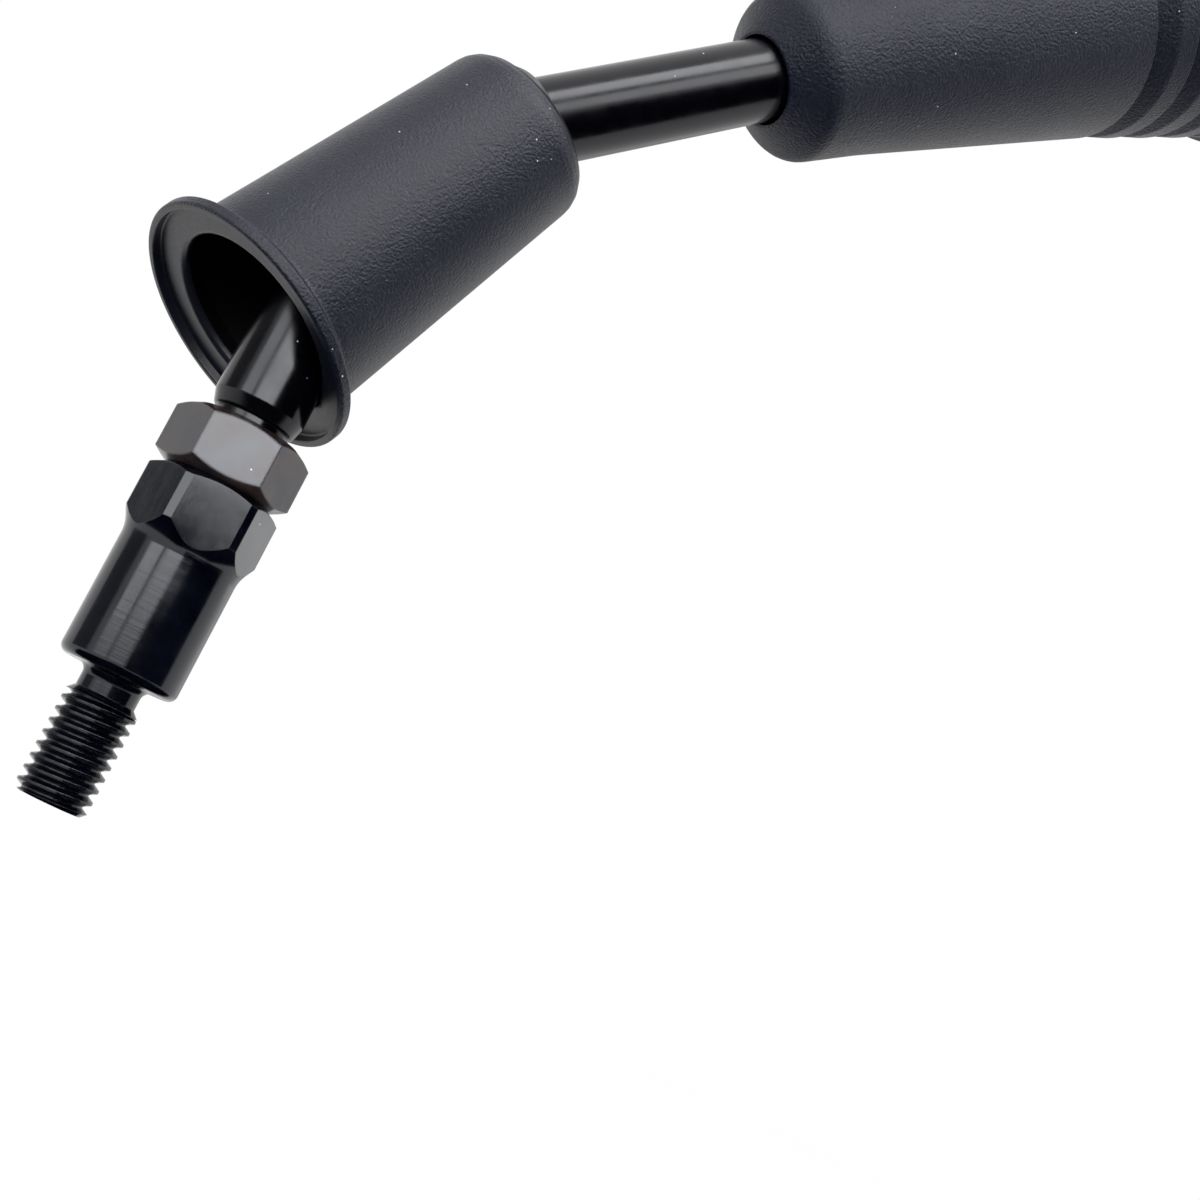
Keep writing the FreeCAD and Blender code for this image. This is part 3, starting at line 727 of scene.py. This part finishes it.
def head_gasket():
    """Foam gasket with soft edges, cut for the bore and the three screws."""
    curve = bpy.data.curves.new("head_gasket_foam", "CURVE")
    curve.dimensions = "2D"
    curve.resolution_u = GASKET_CURVE_STEPS
    curve.extrude = GASKET_THICK / 2 - GASKET_EDGE
    curve.bevel_depth = GASKET_EDGE
    curve.bevel_resolution = GASKET_EDGE_STEPS
    plate_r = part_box("head_bracket")[1].y
    round_hole(curve, (0, 0, 0), plate_r - GASKET_MARGIN - GASKET_EDGE)
    round_hole(curve, (0, 0, 0), GASKET_BORE_R + GASKET_EDGE)
    for angle in HEAD_BOLT_ANGLES:
        centre = heading(angle, 0) * HEAD_BOLT_CIRCLE_R
        round_hole(curve, centre, HEAD_BOLT_HOLE_R + GASKET_EDGE)
    piece = in_scene("head_gasket_foam", curve)
    low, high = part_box("head_gasket")
    across = Vector((0, 1, 0)).cross(ROD_WAY)
    turn = Matrix((across, Vector((0, 1, 0)), ROD_WAY)).transposed()
    piece.matrix_world = Matrix.Translation((low + high) / 2) @ turn.to_4x4()
    curve.materials.append(FINISHES["gasket_foam"])
    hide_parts("head_gasket")
    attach(piece, "head")
    return piece


# Shader nodes
def effect(name, inputs, outputs):
    """Empty node group with named inputs, given with their defaults, and named outputs."""
    group = bpy.data.node_groups.new(name, "ShaderNodeTree")
    for label, kind, default in inputs:
        socket = group.interface.new_socket(label, in_out="INPUT", socket_type=kind)
        if default is not None:
            socket.default_value = default
    for label, kind in outputs:
        group.interface.new_socket(label, in_out="OUTPUT", socket_type=kind)
    entry = group.nodes.new("NodeGroupInput")
    leave = group.nodes.new("NodeGroupOutput")
    return group, entry.outputs, leave.inputs


def plug(tree, source, target):
    """Links an output to an input, or writes a plain value on it."""
    if hasattr(source, "links"):
        tree.links.new(source, target)
    else:
        target.default_value = source


def math_node(tree, operation, first, second=0.0):
    node = tree.nodes.new("ShaderNodeMath")
    node.operation = operation
    plug(tree, first, node.inputs[0])
    plug(tree, second, node.inputs[1])
    return node.outputs[0]


def spread_value(tree, value, low, high, out_low=0.0, out_high=1.0):
    """Maps a value's range to another, held at its ends."""
    node = tree.nodes.new("ShaderNodeMapRange")
    plug(tree, value, node.inputs["Value"])
    plug(tree, low, node.inputs["From Min"])
    plug(tree, high, node.inputs["From Max"])
    plug(tree, out_low, node.inputs["To Min"])
    plug(tree, out_high, node.inputs["To Max"])
    return node.outputs[0]


def noise(tree, place, scale, detail=2.0, roughness=0.5):
    node = tree.nodes.new("ShaderNodeTexNoise")
    plug(tree, place, node.inputs["Vector"])
    plug(tree, scale, node.inputs["Scale"])
    node.inputs["Detail"].default_value = detail
    node.inputs["Roughness"].default_value = roughness
    return node.outputs[0]


def cells(tree, place, scale, feature="F1"):
    node = tree.nodes.new("ShaderNodeTexVoronoi")
    node.feature = feature
    plug(tree, place, node.inputs["Vector"])
    plug(tree, scale, node.inputs["Scale"])
    return node


def stretched(tree, place, factors):
    """The place with each axis multiplied, so that a pattern runs long where the factor is small."""
    node = tree.nodes.new("ShaderNodeVectorMath")
    node.operation = "MULTIPLY"
    plug(tree, place, node.inputs[0])
    plug(tree, factors, node.inputs[1])
    return node.outputs[0]


# Shader effects that several materials use
def rubber_grain_effect():
    """Moulded leather grain: wrinkled cells of the given size, in patches of stronger and weaker grain."""
    inputs = [("Place", "NodeSocketVector", None), ("Grain per Metre", "NodeSocketFloat", 2000.0)]
    outputs = [("Height", "NodeSocketFloat"), ("Tone", "NodeSocketFloat")]
    group, given, result = effect("Rubber grain", inputs, outputs)
    fine = noise(group, given["Place"], given["Grain per Metre"], detail=3.0, roughness=0.6)
    cell = cells(group, given["Place"], given["Grain per Metre"], "SMOOTH_F1")
    pebble = math_node(group, "SUBTRACT", 1.0, cell.outputs["Distance"])
    wrinkles = math_node(group, "MULTIPLY", fine, WRINKLE_SHARE)
    pebbles = math_node(group, "MULTIPLY", pebble, PEBBLE_SHARE)
    mixed = math_node(group, "ADD", wrinkles, pebbles)
    cloudy = noise(group, given["Place"], PATCHES_PER_METRE, detail=1.0)
    patch = spread_value(group, cloudy, 0.3, 0.7, PATCH_WEAKEST, 1.0)
    plug(group, math_node(group, "MULTIPLY", mixed, patch), result["Height"])
    plug(group, spread_value(group, fine, NOISE_LOW, NOISE_HIGH), result["Tone"])
    return group


def dust_effect():
    """Sparse pale specks of dust, one where a cell's own colour is above the threshold."""
    inputs = [
        ("Place", "NodeSocketVector", None),
        ("Specks per Metre", "NodeSocketFloat", 300.0),
        ("Bare Share", "NodeSocketFloat", 0.9),
    ]
    group, given, result = effect("Dust specks", inputs, [("Mask", "NodeSocketFloat")])
    cell = cells(group, given["Place"], given["Specks per Metre"])
    near = spread_value(group, cell.outputs["Distance"], DUST_CORE, DUST_EDGE, 1.0, 0.0)
    pick = group.nodes.new("ShaderNodeSeparateColor")
    plug(group, cell.outputs["Color"], pick.inputs[0])
    chosen = math_node(group, "GREATER_THAN", pick.outputs[0], given["Bare Share"])
    plug(group, math_node(group, "MULTIPLY", near, chosen), result["Mask"])
    return group


def handling_effect():
    """Marks of handling on a hard finish: smudges, hairline scratches and slight waves."""
    inputs = [
        ("Place", "NodeSocketVector", None),
        ("Smudges per Metre", "NodeSocketFloat", 120.0),
        ("Scratches per Metre", "NodeSocketFloat", 500.0),
    ]
    outputs = [(label, "NodeSocketFloat") for label in ("Smudge", "Scratch", "Wave")]
    group, given, result = effect("Handling marks", inputs, outputs)
    cloudy = noise(group, given["Place"], given["Smudges per Metre"], detail=4.0, roughness=0.6)
    plug(group, spread_value(group, cloudy, NOISE_LOW, NOISE_HIGH), result["Smudge"])
    long_way = stretched(group, given["Place"], SCRATCH_STRETCH)
    hair = noise(group, long_way, given["Scratches per Metre"], detail=5.0, roughness=0.8)
    ridge = math_node(group, "ABSOLUTE", math_node(group, "SUBTRACT", hair, 0.5))
    plug(group, spread_value(group, ridge, 0.0, SCRATCH_WIDTH, 1.0, 0.0), result["Scratch"])
    streaky = stretched(group, given["Place"], WAVE_STRETCH)
    plug(group, noise(group, streaky, WAVES_PER_METRE, detail=2.0), result["Wave"])
    return group


def turning_effect():
    """Lines left by a lathe tool: fine bands along the turned axis, which stop at a height."""
    inputs = [
        ("Place", "NodeSocketVector", None),
        ("Lines per Metre", "NodeSocketFloat", 4000.0),
        ("Top", "NodeSocketFloat", 1.0),
    ]
    group, given, result = effect("Turning lines", inputs, [("Height", "NodeSocketFloat")])
    bands = stretched(group, given["Place"], TURNING_STRETCH)
    lines = noise(group, bands, given["Lines per Metre"], detail=3.0, roughness=0.7)
    axes = group.nodes.new("ShaderNodeSeparateXYZ")
    plug(group, given["Place"], axes.inputs[0])
    turned = math_node(group, "LESS_THAN", axes.outputs[2], given["Top"])
    plug(group, math_node(group, "MULTIPLY", lines, turned), result["Height"])
    return group


EFFECTS = {
    "grain": rubber_grain_effect(),
    "dust": dust_effect(),
    "handling": handling_effect(),
    "turning": turning_effect(),
}


# Materials
def finish(name, roughness, ior, metallic=0.0):
    """New material with a Principled shader, its plain values written on the shader itself."""
    material = bpy.data.materials.new(name)
    material.use_nodes = True
    tree = material.node_tree
    shader = tree.nodes["Principled BSDF"]
    shader.inputs["Roughness"].default_value = roughness
    shader.inputs["IOR"].default_value = ior
    shader.inputs["Metallic"].default_value = metallic
    return material, tree, shader


def use(tree, effect_name, place, **values):
    """Places an effect in a material with its own values, written as words_with_underscores."""
    node = tree.nodes.new("ShaderNodeGroup")
    node.node_tree = EFFECTS[effect_name]
    plug(tree, place, node.inputs["Place"])
    for label, value in values.items():
        node.inputs[label.replace("_", " ")].default_value = value
    return node.outputs


def rest_place(tree):
    """Where a point of a bending piece is at rest."""
    node = tree.nodes.new("ShaderNodeAttribute")
    node.attribute_name = "rest_place"
    return node.outputs["Vector"]


def object_place(tree):
    return tree.nodes.new("ShaderNodeTexCoord").outputs["Object"]


def two_tone(tree, mask, first, second):
    """The first colour where the mask is 0, the second where it is 1."""
    node = tree.nodes.new("ShaderNodeMix")
    node.data_type = "RGBA"
    plug(tree, mask, node.inputs["Factor"])
    plug(tree, first, node.inputs[6])
    plug(tree, second, node.inputs[7])
    return node.outputs[2]


def bumped(tree, height, distance, strength=1.0, below=None):
    """Normal of a surface raised by a height, on top of the normal below it."""
    node = tree.nodes.new("ShaderNodeBump")
    node.inputs["Distance"].default_value = distance
    node.inputs["Strength"].default_value = strength
    plug(tree, height, node.inputs["Height"])
    if below is not None:
        plug(tree, below, node.inputs["Normal"])
    return node.outputs[0]


def rubber(name, grain_per_metre, grain_depth, base, raised, roughness, ior, bare_share=0.9):
    """Grained black rubber with a few specks of dust."""
    material, tree, shader = finish(name, roughness, ior)
    place = rest_place(tree)
    grain = use(tree, "grain", place, Grain_per_Metre=grain_per_metre)
    dust = use(tree, "dust", place, Specks_per_Metre=SPECKS_PER_METRE, Bare_Share=bare_share)
    colour = two_tone(tree, grain["Tone"], base, raised)
    plug(tree, two_tone(tree, dust["Mask"], colour, DUST_COLOUR), shader.inputs["Base Color"])
    rough = spread_value(tree, grain["Tone"], 0.0, 1.0, roughness + 0.05, roughness - 0.05)
    plug(tree, rough, shader.inputs["Roughness"])
    plug(tree, bumped(tree, grain["Height"], grain_depth), shader.inputs["Normal"])
    return material


def glossy_black(name, base, smudged, roughness, ior, lines_per_metre=0.0, edge_round=0.25 * MM):
    """Glossy black finish on a hard part, with smudges, hairlines and, where turned, lathe lines."""
    material, tree, shader = finish(name, roughness, ior)
    shader.inputs["Specular Tint"].default_value = (0.93, 0.95, 1, 1)
    place = object_place(tree)
    marks = use(tree, "handling", place, Smudges_per_Metre=160.0)
    dust = use(tree, "dust", place, Specks_per_Metre=SPECKS_PER_METRE, Bare_Share=0.985)
    colour = two_tone(tree, marks["Smudge"], base, smudged)
    plug(tree, two_tone(tree, dust["Mask"], colour, DUST_COLOUR), shader.inputs["Base Color"])
    rough = spread_value(tree, marks["Smudge"], 0.0, 1.0, roughness * 0.8, roughness * 1.5)
    plug(tree, rough, shader.inputs["Roughness"])
    soft_edge = tree.nodes.new("ShaderNodeBevel")
    soft_edge.samples = 4
    soft_edge.inputs["Radius"].default_value = edge_round
    normal = bumped(tree, marks["Scratch"], distance=-0.002 * MM, strength=0.5, below=soft_edge.outputs[0])
    normal = bumped(tree, marks["Wave"], distance=0.012 * MM, below=normal)
    if lines_per_metre:
        lines = use(tree, "turning", place, Lines_per_Metre=lines_per_metre, Top=ADAPTER_ROUND_TOP)
        normal = bumped(tree, lines["Height"], distance=0.010 * MM, strength=0.8, below=normal)
    plug(tree, normal, shader.inputs["Normal"])
    return material


def bare_metal(name, base, smudged, roughness, lines_per_metre):
    """Bright or zinc-plated steel with turned lines and smudges."""
    material, tree, shader = finish(name, roughness, 1.5, metallic=1.0)
    place = object_place(tree)
    marks = use(tree, "handling", place, Smudges_per_Metre=220.0)
    lines = use(tree, "turning", place, Lines_per_Metre=lines_per_metre)
    plug(tree, two_tone(tree, marks["Smudge"], base, smudged), shader.inputs["Base Color"])
    rough = spread_value(tree, marks["Smudge"], 0.0, 1.0, roughness * 0.8, roughness * 1.4)
    plug(tree, rough, shader.inputs["Roughness"])
    normal = bumped(tree, marks["Scratch"], distance=-0.003 * MM, strength=0.6)
    normal = bumped(tree, lines["Height"], distance=0.006 * MM, strength=0.7, below=normal)
    plug(tree, normal, shader.inputs["Normal"])
    return material


def grainy_solid(name, base, raised, roughness, grain_per_metre, grain_depth):
    """Moulded plastic, cast or foamed material with a fine grain, fixed to its own part."""
    material, tree, shader = finish(name, roughness, 1.5)
    place = object_place(tree)
    grain = use(tree, "grain", place, Grain_per_Metre=grain_per_metre)
    marks = use(tree, "handling", place, Smudges_per_Metre=140.0)
    plug(tree, two_tone(tree, grain["Tone"], base, raised), shader.inputs["Base Color"])
    rough = spread_value(tree, marks["Smudge"], 0.0, 1.0, roughness - 0.06, roughness + 0.08)
    plug(tree, rough, shader.inputs["Roughness"])
    plug(tree, bumped(tree, grain["Height"], grain_depth), shader.inputs["Normal"])
    return material


FINISHES = {}
for make, table in (
    (rubber, RUBBERS),
    (glossy_black, GLOSSY_BLACKS),
    (bare_metal, BARE_METALS),
    (grainy_solid, GRAINY_SOLIDS),
):
    for finish_name, values in table.items():
        FINISHES[finish_name] = make(finish_name, **values)


def dress_nodes():
    """Gives each hard part of the frame its finish."""
    for name, finish_name in NODE_FINISHES.items():
        part = nodes[name]
        part.data.materials.clear()
        part.data.materials.append(FINISHES[finish_name])


# Studio
def camera():
    """The photograph's camera, upright to its own up and not to the floor's."""
    look = CAMERA_LOOK.normalized()
    right = look.cross(CAMERA_UP).normalized()
    up = right.cross(look)
    turn = Matrix((right, up, -look)).transposed()
    data = bpy.data.cameras.new("camera")
    data.lens = CAMERA_LENS
    data.sensor_width = CAMERA_SENSOR
    data.clip_start = CAMERA_NEAR
    eye = in_scene("camera", data)
    eye.matrix_world = Matrix.Translation(CAMERA_PLACE) @ turn.to_4x4()
    bpy.context.scene.camera = eye


def facing_centre(azimuth, elevation, distance):
    """Place and turn of a thing at a distance that faces the studio's centre with its -Z side."""
    way = heading(azimuth, elevation)
    turn = (-way).to_track_quat("-Z", "Y").to_matrix().to_4x4()
    return Matrix.Translation(STUDIO_CENTRE + way * distance) @ turn


def span(degrees, distance):
    """Width of a thing that covers an angle as seen from a distance."""
    return 2 * distance * math.tan(math.radians(degrees) / 2)


def lamp(name, azimuth, elevation, wide, high, brightness):
    """Rectangular softbox of an angular size, as bright as brightness times white."""
    data = bpy.data.lights.new(name, "AREA")
    data.shape = "RECTANGLE"
    data.size = span(wide, LAMP_DISTANCE)
    data.size_y = span(high, LAMP_DISTANCE)
    data.energy = brightness * math.pi * data.size * data.size_y
    softbox = in_scene(name, data)
    softbox.matrix_world = facing_centre(azimuth, elevation, LAMP_DISTANCE)


def plain_glow(name, brightness):
    """Material that glows evenly in a grey."""
    material = bpy.data.materials.new(name)
    material.use_nodes = True
    tree = material.node_tree
    tree.nodes.clear()
    glow = tree.nodes.new("ShaderNodeEmission")
    glow.inputs["Color"].default_value = (brightness, brightness, brightness, 1)
    out = tree.nodes.new("ShaderNodeOutputMaterial")
    tree.links.new(glow.outputs[0], out.inputs["Surface"])
    return material


def rectangle(name, wide, high, material):
    """Flat mesh of one face, square to Z."""
    corners = [(-wide / 2, -high / 2, 0), (wide / 2, -high / 2, 0)]
    corners += [(wide / 2, high / 2, 0), (-wide / 2, high / 2, 0)]
    mesh = bpy.data.meshes.new(name)
    mesh.from_pydata(corners, [], [(0, 1, 2, 3)])
    mesh.materials.append(material)
    return mesh


def studio_card(name, brightness, place, wide, high):
    """Card, black or grey, that only shiny surfaces see."""
    card = in_scene(name, rectangle(name, wide, high, plain_glow(name, brightness)))
    card.matrix_world = place
    card.visible_camera = False
    card.visible_diffuse = False
    card.visible_transmission = False
    card.visible_shadow = False


def facing_card(name, brightness, azimuth, elevation, wide, high):
    """Card that faces the centre and covers an angle wide and high."""
    place = facing_centre(azimuth, elevation, CARD_DISTANCE)
    studio_card(name, brightness, place, span(wide, CARD_DISTANCE), span(high, CARD_DISTANCE))


def seen_rays(tree):
    """1 for rays of the camera, of gloss and of glass, 0 for the rest."""
    light_path = tree.nodes.new("ShaderNodeLightPath")
    seen = math_node(tree, "ADD", light_path.outputs["Is Camera Ray"], light_path.outputs["Is Glossy Ray"])
    seen = math_node(tree, "ADD", seen, light_path.outputs["Is Transmission Ray"])
    return math_node(tree, "MINIMUM", seen, 1.0)


def studio_floor():
    """Pale floor, partly glowing where it is seen, so that it reads white and keeps a soft shadow."""
    material = bpy.data.materials.new("studio_floor")
    material.use_nodes = True
    tree = material.node_tree
    shader = tree.nodes["Principled BSDF"]
    shader.inputs["Base Color"].default_value = (FLOOR_TONE, FLOOR_TONE, FLOOR_TONE, 1)
    shader.inputs["Roughness"].default_value = FLOOR_ROUGHNESS
    shader.inputs["Specular IOR Level"].default_value = FLOOR_GLOSS
    glow = tree.nodes.new("ShaderNodeEmission")
    glow.inputs["Strength"].default_value = FLOOR_GLOW_STRENGTH
    mix = tree.nodes.new("ShaderNodeMixShader")
    plug(tree, math_node(tree, "MULTIPLY", seen_rays(tree), FLOOR_GLOW), mix.inputs["Fac"])
    tree.links.new(shader.outputs[0], mix.inputs[1])
    tree.links.new(glow.outputs[0], mix.inputs[2])
    tree.links.new(mix.outputs[0], tree.nodes["Material Output"].inputs["Surface"])
    floor = in_scene("studio_floor", rectangle("studio_floor", FLOOR_SIZE, FLOOR_SIZE, material))
    floor.location = (0, 0, FLOOR_HEIGHT)


def studio_world():
    """White room where it is seen, and a softer light from it elsewhere."""
    world = bpy.data.worlds.new("studio")
    world.use_nodes = True
    bpy.context.scene.world = world
    tree = world.node_tree
    room = tree.nodes["Background"]
    room.inputs["Color"].default_value = (1, 1, 1, 1)
    plug(tree, spread_value(tree, seen_rays(tree), 0.0, 1.0, ROOM_LIGHT, 1.0), room.inputs["Strength"])
    world.cycles.sampling_method = "NONE"


def studio():
    """Camera, room, floor, softboxes and cards."""
    camera()
    studio_world()
    studio_floor()
    for name, values in LAMPS.items():
        lamp(name, *values)
    for name, values in CARDS.items():
        facing_card(name, *values)
    under = Matrix.Translation(FLOOR_CARD_CENTRE + Vector((0, 0, FLOOR_HEIGHT + FLOOR_CARD_LIFT)))
    studio_card("floor_card", 0.0, under, *FLOOR_CARD_SIZE)
    bpy.context.scene.view_settings.view_transform = "Standard"


dress_nodes()
lower_boot()
upper_boot()
bellows_rear()
head_gasket()
studio()
